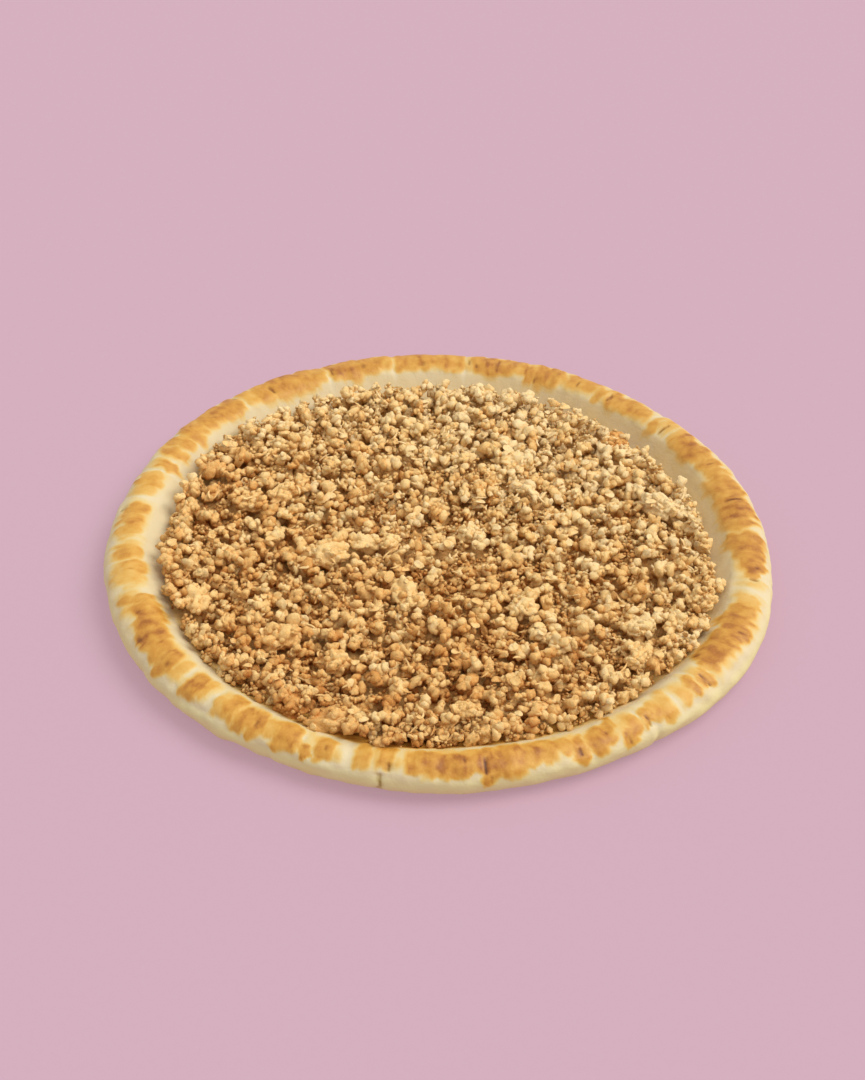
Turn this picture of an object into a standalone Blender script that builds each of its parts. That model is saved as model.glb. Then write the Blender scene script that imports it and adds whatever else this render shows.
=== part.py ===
"""An apple crumble baked in an open case of dough, as a Blender model.

The case is a round dough base with a thick rolled rim, and the crumble is one heap that fills it.
Units are metres and +Z is up. The origin is under the middle of the case, on the surface it rests on.
Azimuths are in degrees, counterclockwise from +X as seen from above.
"""

import math
import random

import bmesh
import bpy
from mathutils import Matrix, Vector, noise

MM = 0.001

# Dough case
OUTER_RADIUS = 150 * MM
RIM_HEIGHT = 20 * MM
ROLL_WIDTH = 24 * MM
BASE_THICKNESS = 5 * MM
FLOOR_INSET = 46 * MM
CASE_STEPS = 160
ROLL_SEGMENTS = 8
SLOPE_SEGMENTS = 4
ROLL_START = -62
ROLL_END = 135
SLOPE_PULL = 5.6 * MM
SEED = 27

# Relief on the roll: from no depth at its foot to full depth, and from full depth to none down the slope
RELIEF_FOOT = (2 * MM, 8 * MM)
RELIEF_SLOPE = (18 * MM, 27 * MM)
LUMP_DEPTH = 0.5 * MM
LUMPS_PER_METRE = 60

# Hand-stretched outline and rim height, each as (azimuth, half-width in degrees, push)
OUTLINE_PUSHES = (
    (48, 20, -2.7 * MM),
    (80, 12, -0.8 * MM),
    (136, 30, 1.8 * MM),
    (186, 12, 1.0 * MM),
    (222, 7, -0.6 * MM),
    (244, 15, -2.4 * MM),
    (330, 22, 4.2 * MM),
)
HEIGHT_PUSHES = (
    (30, 25, 0.6 * MM),
    (95, 20, -0.8 * MM),
    (150, 18, 0.5 * MM),
)

# Where the roll is slimmer, as (azimuth, half-width in degrees, amount), and what it takes off each size
SLIM_PUSHES = (
    (225, 10, 0.9 * MM),
    (248, 15, 3.5 * MM),
    (274, 18, 1.9 * MM),
    (298, 15, 2.6 * MM),
)
SLIM_WIDTH = 1.15
SLIM_HEIGHT = 0.85

# Creases across the roll, each as (azimuth, half-width in degrees, depth)
CREASES = (
    (11, 1.6, 1.0 * MM),
    (37, 1.8, 1.3 * MM),
    (52, 1.7, 1.2 * MM),
    (66, 2.4, 0.6 * MM),
    (84, 1.8, 0.9 * MM),
    (99, 1.8, 1.0 * MM),
    (113, 1.8, 0.9 * MM),
    (121, 2.0, 0.7 * MM),
    (134, 1.8, 0.8 * MM),
    (147, 2.0, 1.3 * MM),
    (155, 1.6, 1.0 * MM),
    (163, 1.8, 1.2 * MM),
    (171, 1.8, 1.1 * MM),
    (179, 1.8, 0.9 * MM),
    (189, 2.0, 0.8 * MM),
    (200, 1.8, 0.8 * MM),
    (213, 2.4, 1.0 * MM),
    (228, 2.0, 1.0 * MM),
    (238, 1.8, 0.9 * MM),
    (247, 1.8, 1.0 * MM),
    (261, 1.5, 1.4 * MM),
    (279, 1.6, 0.9 * MM),
    (304, 1.8, 1.5 * MM),
    (312, 1.8, 1.0 * MM),
    (319, 1.8, 1.3 * MM),
    (327, 1.8, 1.1 * MM),
    (336, 1.8, 0.8 * MM),
    (349, 2.0, 1.3 * MM),
)

# Crumble heap
HEAP_GAP = 0.5 * MM
HEAP_INSET = 26 * MM
HEAP_INSET_PUSHES = (
    (30, 24, 3.4 * MM),
    (80, 30, 3.0 * MM),
    (118, 22, 2.2 * MM),
    (205, 16, -3.2 * MM),
    (265, 45, -4.5 * MM),
    (341, 8, -1.5 * MM),
)
HEAP_EDGE_LEVEL = 15.2 * MM
HEAP_CROWN = 1.4 * MM
HEAP_EDGE_RAGGED = 1.3 * MM
HEAP_EDGE_WAVES = 9
HEAP_RINGS = 20
HEAP_BANK = 0.07
SIDE_LEVELS = 2
CRUMB_JITTER = 1.5 * MM
CRUMB_RELIEF = (-2.2 * MM, 2.4 * MM)

# The large clumps that stand out, each as (x, y, length, width, height, turn in degrees)
CLUMPS = (
    (-14, -38, 19, 12, 11, 100),
    (-105, -42, 15, 11, 11, 80),
    (-50, -12, 20, 14, 10, 10),
    (-32, -4, 14, 9, 8, 5),
    (-21, -4, 9, 9, 8, 0),
    (-71, 31, 14, 12, 9, 30),
    (-87, 26, 12, 11, 9, 60),
    (-68, -67, 14, 13, 9, 20),
    (-41, -116, 24, 12, 11, 8),
    (-60, -108, 14, 11, 9, 0),
    (-43, -83, 13, 11, 9, 60),
    (87, -80, 15, 14, 10, 110),
    (88, -60, 14, 13, 9, 0),
    (104, -57, 12, 9, 8, 40),
    (20, -124, 9, 9, 9, 0),
    (31, -121, 11, 9, 9, 150),
    (12, -112, 12, 10, 8, 0),
    (86, 73, 13, 12, 9, 0),
    (103, 23, 23, 11, 9, 140),
    (15, 2, 12, 9, 7, 0),
    (36, 55, 18, 12, 8, 150),
    (26, 44, 11, 8, 6, 0),
    (117, -42, 11, 10, 9, 0),
    (37, -48, 13, 11, 8, 20),
    (-108, 53, 11, 9, 8, 30),
)
LOOSE_CLUMPS = 92
LOOSE_LENGTH = (6 * MM, 11.5 * MM)
LOOSE_WIDTH = (0.7, 0.95)
LOOSE_HEIGHT = (0.7, 0.9)
LOOSE_REACH = 0.96
PLACE_TRIES = 14
CLUMP_SINK = 0.36
CLUMP_MARGIN = 2.5 * MM
CLUMP_ROUGHNESS = 0.32
FINE_CLUMP_LENGTH = 15 * MM


def remove_everything():
    """Clears the scene that the script starts in."""
    for old in list(bpy.data.objects):
        bpy.data.objects.remove(old)


def pushed(azimuth, pushes):
    """Sum of smooth bumps around the case at this azimuth."""
    total = 0.0
    for centre, width, push in pushes:
        away = (azimuth - centre + 180) % 360 - 180
        total += push * math.exp(-((away / width) ** 2))
    return total


def outline(azimuth):
    """Outer radius of the case."""
    return OUTER_RADIUS + pushed(azimuth, OUTLINE_PUSHES)


def roll_point(angle):
    """(inset, height) on the rim's oval roll; 0 degrees is its outermost point and 90 its top."""
    turn = math.radians(angle)
    inset = ROLL_WIDTH / 2 * (1 - math.cos(turn))
    height = RIM_HEIGHT / 2 * (1 + math.sin(turn))
    return inset, height


def slope_height(inset):
    """Height of the plain case's inner slope, a parabola from the roll down to the floor."""
    start, top = roll_point(ROLL_END)
    share = min(max((inset - start) / (FLOOR_INSET - start), 0.0), 1.0)
    rest = 1 - share
    return rest * rest * top + 2 * rest * share * SLOPE_PULL + share * share * BASE_THICKNESS


def slimmed(azimuth, inset, height):
    """(inset, height) of a point of the plain section where the roll may be slimmer."""
    slim = pushed(azimuth, SLIM_PUSHES)
    start = roll_point(ROLL_END)[0]
    narrowed = start * (1 - slim * SLIM_WIDTH / ROLL_WIDTH)
    if inset < start:
        inset *= narrowed / start
    else:
        inset = narrowed + (inset - start) * (FLOOR_INSET - narrowed) / (FLOOR_INSET - start)
    middle = RIM_HEIGHT / 2
    if height > middle:
        height = middle + (height - middle) * (middle - slim * SLIM_HEIGHT) / middle
    return inset, height


def slope_at(azimuth, inset):
    """Height of the inner slope at this azimuth and inset, with the roll slimmed there."""
    slim = pushed(azimuth, SLIM_PUSHES)
    start = roll_point(ROLL_END)[0]
    narrowed = start * (1 - slim * SLIM_WIDTH / ROLL_WIDTH)
    plain = start + (inset - narrowed) * (FLOOR_INSET - start) / (FLOOR_INSET - narrowed)
    return slimmed(azimuth, plain, slope_height(plain))[1]


def case_section():
    """(inset, height) down the case's section, from the floor over the rim to the underside."""
    start = roll_point(ROLL_END)[0]
    section = []
    for step in range(SLOPE_SEGMENTS):
        inset = FLOOR_INSET + (start - FLOOR_INSET) * step / SLOPE_SEGMENTS
        section.append((inset, slope_height(inset)))
    for step in range(ROLL_SEGMENTS + 1):
        section.append(roll_point(ROLL_END + (ROLL_START - ROLL_END) * step / ROLL_SEGMENTS))
    section.append((ROLL_WIDTH / 2, 0.0))
    return section


def column(azimuth):
    """The azimuth, or that of a crease within half a step, so that points run down every crease."""
    for centre, _, _ in CREASES:
        away = (azimuth - centre + 180) % 360 - 180
        if abs(away) < 180 / CASE_STEPS:
            return centre
    return azimuth


def roll_share(inset, height):
    """1 on the upper side of the roll, easing to 0 at the foot and down the inner slope."""
    foot, full = RELIEF_FOOT
    outer = min(max((height - foot) / (full - foot), 0.0), 1.0)
    full, end = RELIEF_SLOPE
    inner = min(max((end - inset) / (end - full), 0.0), 1.0)
    return outer * inner


def shape_case(point):
    """Where a point of the plainly turned case goes on the hand-made one."""
    azimuth = column(math.degrees(math.atan2(point.y, point.x)))
    radius = math.hypot(point.x, point.y)
    inset = OUTER_RADIUS - radius
    share = roll_share(inset, point.z)
    lumps = LUMP_DEPTH * noise.noise(Vector((point.x, point.y, 0.05)) * LUMPS_PER_METRE)
    sunk = share * (pushed(azimuth, CREASES) - lumps)
    across = (radius - OUTER_RADIUS + ROLL_WIDTH / 2) / (ROLL_WIDTH / 2)
    upward = (point.z - RIM_HEIGHT / 2) / (RIM_HEIGHT / 2)
    slim_inset, slim_height = slimmed(azimuth, inset, point.z)
    new_radius = outline(azimuth) - slim_inset - sunk * across
    new_height = slim_height + share * pushed(azimuth, HEIGHT_PUSHES) - sunk * upward
    turn = math.radians(azimuth)
    return Vector((new_radius * math.cos(turn), new_radius * math.sin(turn), new_height))


def material(name, colour, roughness):
    """A Principled material in one colour."""
    made = bpy.data.materials.new(name)
    made.use_nodes = True
    shader = made.node_tree.nodes["Principled BSDF"]
    shader.inputs["Base Color"].default_value = (*colour, 1)
    shader.inputs["Roughness"].default_value = roughness
    shader.inputs["Metallic"].default_value = 0
    return made


def mesh_of(source):
    """A plain mesh of the object as its modifiers leave it."""
    bpy.context.view_layer.update()
    graph = bpy.context.evaluated_depsgraph_get()
    return bpy.data.meshes.new_from_object(source.evaluated_get(graph))


def make_case(collection):
    """The dough case: its section turned round, shaped, and closed with a floor and an underside."""
    section = case_section()
    profile = bpy.data.meshes.new("case_section")
    points = [(OUTER_RADIUS - inset, 0, height) for inset, height in section]
    profile.from_pydata(points, [(i, i + 1) for i in range(len(points) - 1)], [])
    turned = bpy.data.objects.new("case_section", profile)
    collection.objects.link(turned)
    screw = turned.modifiers.new("turn", "SCREW")
    screw.angle = math.tau
    screw.steps = CASE_STEPS
    screw.render_steps = CASE_STEPS
    screw.use_merge_vertices = True
    screw.merge_threshold = 0.0001
    mesh = mesh_of(turned)
    bpy.data.objects.remove(turned)
    mesh.name = "case"
    bm = bmesh.new()
    bm.from_mesh(mesh)
    for vertex in bm.verts:
        vertex.co = shape_case(vertex.co)
    open_edges = [edge for edge in bm.edges if edge.is_boundary]
    bmesh.ops.holes_fill(bm, edges=open_edges, sides=0)
    bmesh.ops.recalc_face_normals(bm, faces=bm.faces)
    bm.to_mesh(mesh)
    bm.free()
    case = bpy.data.objects.new("dough_case", mesh)
    collection.objects.link(case)
    mesh.shade_smooth()
    mesh.set_sharp_from_angle(angle=math.radians(50))
    mesh.materials.append(material("baked_dough", (0.68, 0.40, 0.15), 0.55))
    return case


def heap_edge(azimuth):
    """(radius, height) of the heap's edge, where it meets the case's inner slope."""
    turn = math.radians(azimuth)
    around = Vector((math.cos(turn), math.sin(turn), 0.4))
    ragged = HEAP_EDGE_RAGGED * noise.noise(around * HEAP_EDGE_WAVES)
    inset = HEAP_INSET + pushed(azimuth, HEAP_INSET_PUSHES) + ragged
    return outline(azimuth) - inset - HEAP_GAP, slope_at(azimuth, inset) + HEAP_GAP


def round_place(point):
    """(share of the radius, azimuth) on a disc, for a point of a hexagon whose corners are at 1."""
    azimuth = math.degrees(math.atan2(point.y, point.x)) % 360
    sector = min(int(azimuth / 60), 5)
    inner = math.radians(azimuth - 60 * sector)
    reach = math.hypot(point.x, point.y)
    along_second = reach * math.sin(inner) / math.sin(math.radians(60))
    share = reach * math.cos(inner) + along_second / 2
    if share < 1e-6:
        return 0.0, 0.0
    return share, 60 * (sector + along_second / share)


def heap_level(share, azimuth):
    """Height of the heap's surface, bumps left out, at this share of the way to its edge."""
    edge_height = heap_edge(azimuth)[1]
    bank = min((1 - share) / HEAP_BANK, 1.0)
    bank = bank * bank * (3 - 2 * bank)
    crowned = HEAP_EDGE_LEVEL + HEAP_CROWN * (1 - share * share)
    return edge_height + (crowned - edge_height) * bank


def make_heap_core(collection, draw):
    """The body of the crumble: its bumpy top, and sides that follow the case down to the floor."""
    bm = bmesh.new()
    bmesh.ops.create_circle(bm, cap_ends=True, cap_tris=True, segments=6, radius=1)
    corner = next(vertex for vertex in bm.verts if vertex.co.length > 0.5)
    start = math.atan2(corner.co.y, corner.co.x)
    bmesh.ops.subdivide_edges(bm, edges=bm.edges, cuts=HEAP_RINGS - 1, use_grid_fill=True)
    rim = {vertex for edge in bm.edges if edge.is_boundary for vertex in edge.verts}
    spin = Matrix.Rotation(-start, 3, "Z")
    for vertex in bm.verts:
        share, azimuth = round_place(spin @ vertex.co)
        radius, height = heap_edge(azimuth)
        turn = math.radians(azimuth)
        place = Vector((math.cos(turn), math.sin(turn), 0)) * radius * share
        if vertex in rim:
            vertex.co = (place.x, place.y, height)
            continue
        calm = min((1 - share) / HEAP_BANK, 1.0)
        place.x += draw.uniform(-1, 1) * CRUMB_JITTER * calm
        place.y += draw.uniform(-1, 1) * CRUMB_JITTER * calm
        bump = draw.uniform(*CRUMB_RELIEF) * max(calm, 0.4)
        vertex.co = (place.x, place.y, heap_level(share, azimuth) + bump)
    loop = [edge for edge in bm.edges if edge.is_boundary]
    for level in range(1, SIDE_LEVELS + 1):
        made = bmesh.ops.extrude_edge_only(bm, edges=loop)["geom"]
        loop = [item for item in made if isinstance(item, bmesh.types.BMEdge) and item.is_boundary]
        for vertex in {vertex for edge in loop for vertex in edge.verts}:
            azimuth = math.degrees(math.atan2(vertex.co.y, vertex.co.x))
            first = outline(azimuth) - HEAP_GAP - heap_edge(azimuth)[0]
            inset = first + (FLOOR_INSET - first) * level / SIDE_LEVELS
            radius = outline(azimuth) - inset - HEAP_GAP
            turn = math.radians(azimuth)
            height = slope_at(azimuth, inset) + HEAP_GAP
            vertex.co = (radius * math.cos(turn), radius * math.sin(turn), height)
    bmesh.ops.holes_fill(bm, edges=loop, sides=0)
    bmesh.ops.recalc_face_normals(bm, faces=bm.faces)
    mesh = bpy.data.meshes.new("crumble_core")
    bm.to_mesh(mesh)
    bm.free()
    core = bpy.data.objects.new("crumble_core", mesh)
    collection.objects.link(core)
    return core


def clump_places(draw):
    """(x, y, length, width, height, turn) of each clump: the named ones, then others spread evenly."""
    places = []
    for x, y, length, width, height, turn in CLUMPS:
        places.append((x * MM, y * MM, length * MM, width * MM, height * MM, turn))
    shortest, longest = LOOSE_LENGTH
    for number in range(LOOSE_CLUMPS):
        length = longest + (shortest - longest) * number / (LOOSE_CLUMPS - 1)
        best, widest = None, -1.0
        for _ in range(PLACE_TRIES):
            azimuth = draw.uniform(0, 360)
            radius = heap_edge(azimuth)[0] * math.sqrt(draw.random()) * LOOSE_REACH
            x = radius * math.cos(math.radians(azimuth))
            y = radius * math.sin(math.radians(azimuth))
            room = min(math.hypot(x - other[0], y - other[1]) - other[2] / 2 for other in places)
            if room > widest:
                best, widest = (x, y), room
        width = length * draw.uniform(*LOOSE_WIDTH)
        height = width * draw.uniform(*LOOSE_HEIGHT)
        places.append((*best, length, width, height, draw.uniform(0, 180)))
    return places


def make_clump(collection, place, number):
    """One lumpy clump of crumble, sunk into the heap's surface."""
    x, y, length, width, height, turn = place
    azimuth = math.degrees(math.atan2(y, x))
    edge = heap_edge(azimuth)[0]
    reach = min(math.hypot(x, y), edge - length / 2 - CLUMP_MARGIN)
    centre_x = reach * math.cos(math.radians(azimuth))
    centre_y = reach * math.sin(math.radians(azimuth))
    level = heap_level(reach / edge, azimuth)
    bm = bmesh.new()
    bmesh.ops.create_icosphere(bm, subdivisions=2 if length > FINE_CLUMP_LENGTH else 1, radius=0.5)
    for vertex in bm.verts:
        lump = 1 + CLUMP_ROUGHNESS * noise.noise(vertex.co * 3 + Vector((number * 7.3, 0, 0)))
        vertex.co = vertex.co * lump
        vertex.co.x *= length
        vertex.co.y *= width
        vertex.co.z *= height
    mesh = bpy.data.meshes.new(f"clump_{number}")
    bm.to_mesh(mesh)
    bm.free()
    clump = bpy.data.objects.new(f"clump_{number}", mesh)
    clump.location = (centre_x, centre_y, level + height * (0.5 - CLUMP_SINK))
    clump.rotation_euler = (0, 0, math.radians(turn))
    collection.objects.link(clump)
    return clump


def keep_largest_body(mesh):
    """Drops loose scraps, and fills hollows sealed inside, by removing every shell but the largest."""
    bm = bmesh.new()
    bm.from_mesh(mesh)
    waiting = set(bm.faces)
    shells = []
    while waiting:
        shell = []
        reached = [waiting.pop()]
        while reached:
            face = reached.pop()
            shell.append(face)
            for edge in face.edges:
                for other in edge.link_faces:
                    if other in waiting:
                        waiting.remove(other)
                        reached.append(other)
        shells.append(shell)
    shells.sort(key=len)
    for shell in shells[:-1]:
        bmesh.ops.delete(bm, geom=shell, context="FACES")
    bm.to_mesh(mesh)
    bm.free()


def make_crumble(collection):
    """The heap of crumble as one solid, with its large clumps fused on."""
    draw = random.Random(SEED)
    core = make_heap_core(collection, draw)
    clumps = bpy.data.collections.new("clumps")
    bpy.context.scene.collection.children.link(clumps)
    for number, place in enumerate(clump_places(draw)):
        make_clump(clumps, place, number)
    fuse = core.modifiers.new("fuse", "BOOLEAN")
    fuse.operation = "UNION"
    fuse.operand_type = "COLLECTION"
    fuse.collection = clumps
    fuse.solver = "MANIFOLD"
    mesh = mesh_of(core)
    mesh.name = "crumble"
    keep_largest_body(mesh)
    for clump in list(clumps.objects):
        bpy.data.objects.remove(clump)
    bpy.data.collections.remove(clumps)
    bpy.data.objects.remove(core)
    crumble = bpy.data.objects.new("crumble", mesh)
    collection.objects.link(crumble)
    mesh.materials.clear()
    mesh.materials.append(material("crumble_topping", (0.46, 0.26, 0.09), 0.85))
    return crumble


def stand_on_origin(objects):
    """Moves the objects together so that their box is centred on the origin and stands on Z = 0."""
    corners = [vertex.co for item in objects for vertex in item.data.vertices]
    low = Vector([min(corner[axis] for corner in corners) for axis in range(3)])
    high = Vector([max(corner[axis] for corner in corners) for axis in range(3)])
    shift = Vector(((low.x + high.x) / -2, (low.y + high.y) / -2, -low.z))
    for item in objects:
        for vertex in item.data.vertices:
            vertex.co += shift
    print("box moved by", [round(value / MM, 3) for value in shift], "mm")


def main():
    remove_everything()
    collection = bpy.data.collections.new("apple_crumble")
    bpy.context.scene.collection.children.link(collection)
    case = make_case(collection)
    crumble = make_crumble(collection)
    stand_on_origin([case, crumble])


main()
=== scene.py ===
"""The looks of an apple crumble: a baked dough case, and the crumbs that are heaped in it.

Lengths are in metres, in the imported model's frame. Azimuths are in degrees, counterclockwise from +X
as seen from above. A roll angle says where a point is on the section of the case's rim: 0 is its
outermost point, 90 its top, 135 the start of the inner slope and 180 the slope's foot.
"""

import math
import random

import bmesh
import bpy
import numpy as np
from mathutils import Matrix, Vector, noise


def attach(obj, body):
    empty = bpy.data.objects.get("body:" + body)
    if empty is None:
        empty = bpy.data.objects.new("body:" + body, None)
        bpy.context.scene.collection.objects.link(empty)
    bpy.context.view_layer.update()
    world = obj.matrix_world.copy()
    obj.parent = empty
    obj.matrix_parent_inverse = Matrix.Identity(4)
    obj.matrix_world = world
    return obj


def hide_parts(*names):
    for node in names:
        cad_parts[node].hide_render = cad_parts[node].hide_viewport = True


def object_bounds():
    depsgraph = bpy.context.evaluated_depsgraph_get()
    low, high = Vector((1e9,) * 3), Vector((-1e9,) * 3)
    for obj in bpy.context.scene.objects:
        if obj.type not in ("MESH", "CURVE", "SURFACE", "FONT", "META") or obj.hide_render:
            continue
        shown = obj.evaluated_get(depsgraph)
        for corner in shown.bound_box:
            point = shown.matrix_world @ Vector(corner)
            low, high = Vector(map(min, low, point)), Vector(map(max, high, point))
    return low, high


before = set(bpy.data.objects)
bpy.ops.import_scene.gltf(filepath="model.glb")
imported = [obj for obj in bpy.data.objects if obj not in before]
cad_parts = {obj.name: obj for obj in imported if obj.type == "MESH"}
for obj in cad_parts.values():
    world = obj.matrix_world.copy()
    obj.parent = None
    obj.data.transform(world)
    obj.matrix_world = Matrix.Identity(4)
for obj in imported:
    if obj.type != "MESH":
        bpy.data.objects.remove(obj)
cad_low, cad_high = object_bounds()

MM = 0.001

# No piece reaches beyond the model's box
LOWEST = np.array(cad_low) + (0.05 * MM, 0.05 * MM, 0)
FARTHEST = np.array(cad_high) - 0.05 * MM

# Dough case, the same driving sizes as the model's. Pushes are (azimuth, half-width in degrees, push).
OUTER_RADIUS = 150 * MM
RIM_HEIGHT = 20 * MM
ROLL_WIDTH = 24 * MM
BASE_THICKNESS = 5 * MM
FLOOR_INSET = 46 * MM
ROLL_START = -62
ROLL_END = 135
SLOPE_PULL = 5.6 * MM
OUTLINE_PUSHES = (
    (48, 20, -2.7 * MM),
    (80, 12, -0.8 * MM),
    (136, 30, 1.8 * MM),
    (186, 12, 1.0 * MM),
    (222, 7, -0.6 * MM),
    (244, 15, -2.4 * MM),
    (330, 22, 4.2 * MM),
)
HEIGHT_PUSHES = (
    (30, 25, 0.6 * MM),
    (95, 20, -0.8 * MM),
    (150, 18, 0.5 * MM),
)
SLIM_PUSHES = (
    (225, 10, 0.9 * MM),
    (248, 15, 3.5 * MM),
    (274, 18, 1.9 * MM),
    (298, 15, 2.6 * MM),
)
SLIM_WIDTH = 1.15
SLIM_HEIGHT = 0.85

# Fine mesh of the case
CASE_COLUMNS = 880
SLOPE_ROWS = 12
ROLL_ROWS = 48
SKIN_INSET = 0.6 * MM

# Browned patches, each as (azimuth, half-width, roll angle of the outer end, of the inner end, strength)
PATCHES = (
    (4, 2.4, 64, 138, 0.87),
    (7, 1.6, 42, 138, 0.9),
    (10, 1.8, 55, 142, 0.87),
    (13, 1.6, 55, 130, 0.77),
    (16, 2.4, 58, 138, 0.84),
    (20, 1.3, 62, 116, 0.68),
    (22.5, 1, 60, 118, 0.79),
    (25, 1, 62, 120, 0.73),
    (27.8, 2.2, 62, 136, 0.92),
    (31, 1.6, 65, 130, 0.78),
    (33, 1, 66, 116, 0.63),
    (38.8, 0.7, 95, 138, 0.74),
    (43, 1.3, 60, 105, 0.77),
    (46.5, 2.2, 60, 122, 0.82),
    (50, 1.6, 60, 130, 0.84),
    (53.8, 0.6, 75, 125, 0.75),
    (57.5, 2.2, 50, 108, 0.75),
    (60.5, 1.5, 55, 115, 0.8),
    (65, 2, 60, 132, 0.89),
    (68, 1.6, 60, 138, 0.84),
    (70.7, 0.8, 80, 136, 0.92),
    (73, 1.4, 60, 112, 0.75),
    (75.5, 1.5, 50, 122, 0.82),
    (78.5, 1.8, 50, 130, 0.92),
    (81.5, 1.5, 50, 122, 0.82),
    (86.5, 1.8, 50, 125, 0.77),
    (89.5, 1.7, 50, 118, 0.74),
    (92.7, 1.6, 50, 122, 0.81),
    (95.7, 1.6, 50, 122, 0.77),
    (98, 0.9, 50, 125, 0.8),
    (101, 1.4, 50, 112, 0.76),
    (104.3, 2, 50, 125, 0.81),
    (108.4, 2.4, 50, 138, 0.87),
    (111.8, 1, 50, 125, 0.87),
    (115, 1.3, 50, 120, 0.68),
    (118, 1.9, 45, 138, 0.81),
    (121.5, 2, 45, 138, 0.8),
    (124.5, 1.5, 45, 138, 0.81),
    (128, 1.4, 45, 132, 0.72),
    (131, 1.2, 45, 118, 0.62),
    (134.5, 1, 40, 118, 0.77),
    (136.2, 0.8, 60, 130, 0.8),
    (138.2, 1, 45, 128, 0.81),
    (140.2, 0.8, 50, 120, 0.8),
    (142.6, 1.2, 40, 120, 0.74),
    (145.5, 1.4, 40, 118, 0.71),
    (147.8, 0.9, 60, 138, 0.8),
    (150.6, 1.2, 50, 125, 0.75),
    (154, 1.2, 60, 135, 0.74),
    (158.3, 0.9, 80, 138, 0.8),
    (161.6, 0.8, 55, 110, 0.58),
    (163.8, 1.4, 50, 118, 0.72),
    (166.6, 1, 60, 110, 0.56),
    (172.5, 1.5, 65, 116, 0.7),
    (175.6, 1.3, 65, 112, 0.68),
    (178.4, 1.4, 60, 108, 0.56),
    (184.7, 1.8, 62, 118, 0.71),
    (189, 1.7, 82, 130, 0.72),
    (192, 0.9, 55, 125, 0.5),
    (194.3, 0.6, 60, 100, 0.4),
    (198.3, 0.9, 45, 130, 0.75),
    (201.6, 2, 70, 143, 0.8),
    (204.6, 1.6, 60, 138, 0.78),
    (207.6, 1.8, 50, 118, 0.81),
    (210.4, 1.6, 45, 115, 0.78),
    (213.2, 1.4, 38, 106, 0.77),
    (216, 1.6, 30, 108, 0.83),
    (219.2, 0.7, 60, 110, 0.5),
    (223.7, 1.9, 32, 112, 0.85),
    (226.3, 0.7, 60, 118, 0.58),
    (229.9, 0.6, 30, 90, 0.58),
    (232.4, 1.4, 45, 122, 0.76),
    (235.5, 0.9, 28, 106, 0.8),
    (238, 1.2, 22, 108, 0.83),
    (240.6, 0.9, 50, 96, 0.6),
    (244, 2.2, 28, 118, 0.83),
    (247.5, 0.8, 26, 62, 0.88),
    (250.8, 1.6, 40, 108, 0.77),
    (257.4, 1.3, 40, 132, 0.66),
    (261.6, 1.2, 52, 118, 0.77),
    (266.6, 1.6, 42, 106, 0.76),
    (269.6, 1.8, 30, 102, 0.84),
    (272.6, 2, 25, 100, 0.88),
    (275.6, 1.6, 40, 108, 0.75),
    (278.4, 1.3, 5, 112, 0.88),
    (282, 2.3, 17, 118, 0.86),
    (285.4, 1.5, 40, 112, 0.76),
    (288.3, 1.9, 50, 112, 0.71),
    (291.2, 1.3, 50, 100, 0.7),
    (293.8, 1, 6, 96, 0.85),
    (297, 1.4, 25, 106, 0.82),
    (299.3, 0.8, 50, 100, 0.78),
    (300.7, 0.4, 80, 130, 0.76),
    (302.6, 1.3, 15, 62, 0.81),
    (304.2, 0.8, 40, 96, 0.72),
    (307, 0.8, 45, 86, 0.75),
    (308.7, 0.7, 50, 96, 0.62),
    (311, 1.4, 30, 90, 0.58),
    (315, 0.8, 45, 86, 0.58),
    (317.6, 0.9, 50, 100, 0.8),
    (320.6, 0.8, 45, 92, 0.82),
    (323.2, 0.9, 60, 102, 0.78),
    (325.6, 2, 68, 142, 0.92),
    (328.6, 1.6, 62, 140, 0.82),
    (331, 1.3, 60, 132, 0.84),
    (333.8, 1.1, 50, 120, 0.94),
    (336.2, 1.8, 62, 142, 0.89),
    (339, 1.4, 60, 116, 0.78),
    (341.4, 1.1, 58, 100, 0.55),
    (349, 0.9, 60, 94, 0.84),
    (351.4, 1.5, 52, 106, 0.92),
    (354.8, 2, 52, 120, 0.86),
    (358.6, 2.3, 46, 142, 0.89),
)
PATCH_RISE = 0.4 * MM

# How brown the roll is between the patches, the tan of painted shade on the far right slope, and how
# brown the slope is stained beside the crumbs
BLUSH = 0.34
BLUSH_PUSHES = ((38, 30, 0.5),)
PAINTED_SHADE_PUSHES = ((35, 60, 1.0),)
SLOPE_SHADE_TAN = 0.15
STAIN = 0.22
# Painted shade: the stained band is darker at the front, where the crumbs shade the slope
STAIN_SHADE_PUSHES = ((267, 42, 0.6),)

# Where the outer wall is crinkled, over a little everywhere
CRINKLED = 0.35
CRINKLE_PUSHES = ((228, 22, 1.0), (318, 14, 0.5))

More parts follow.
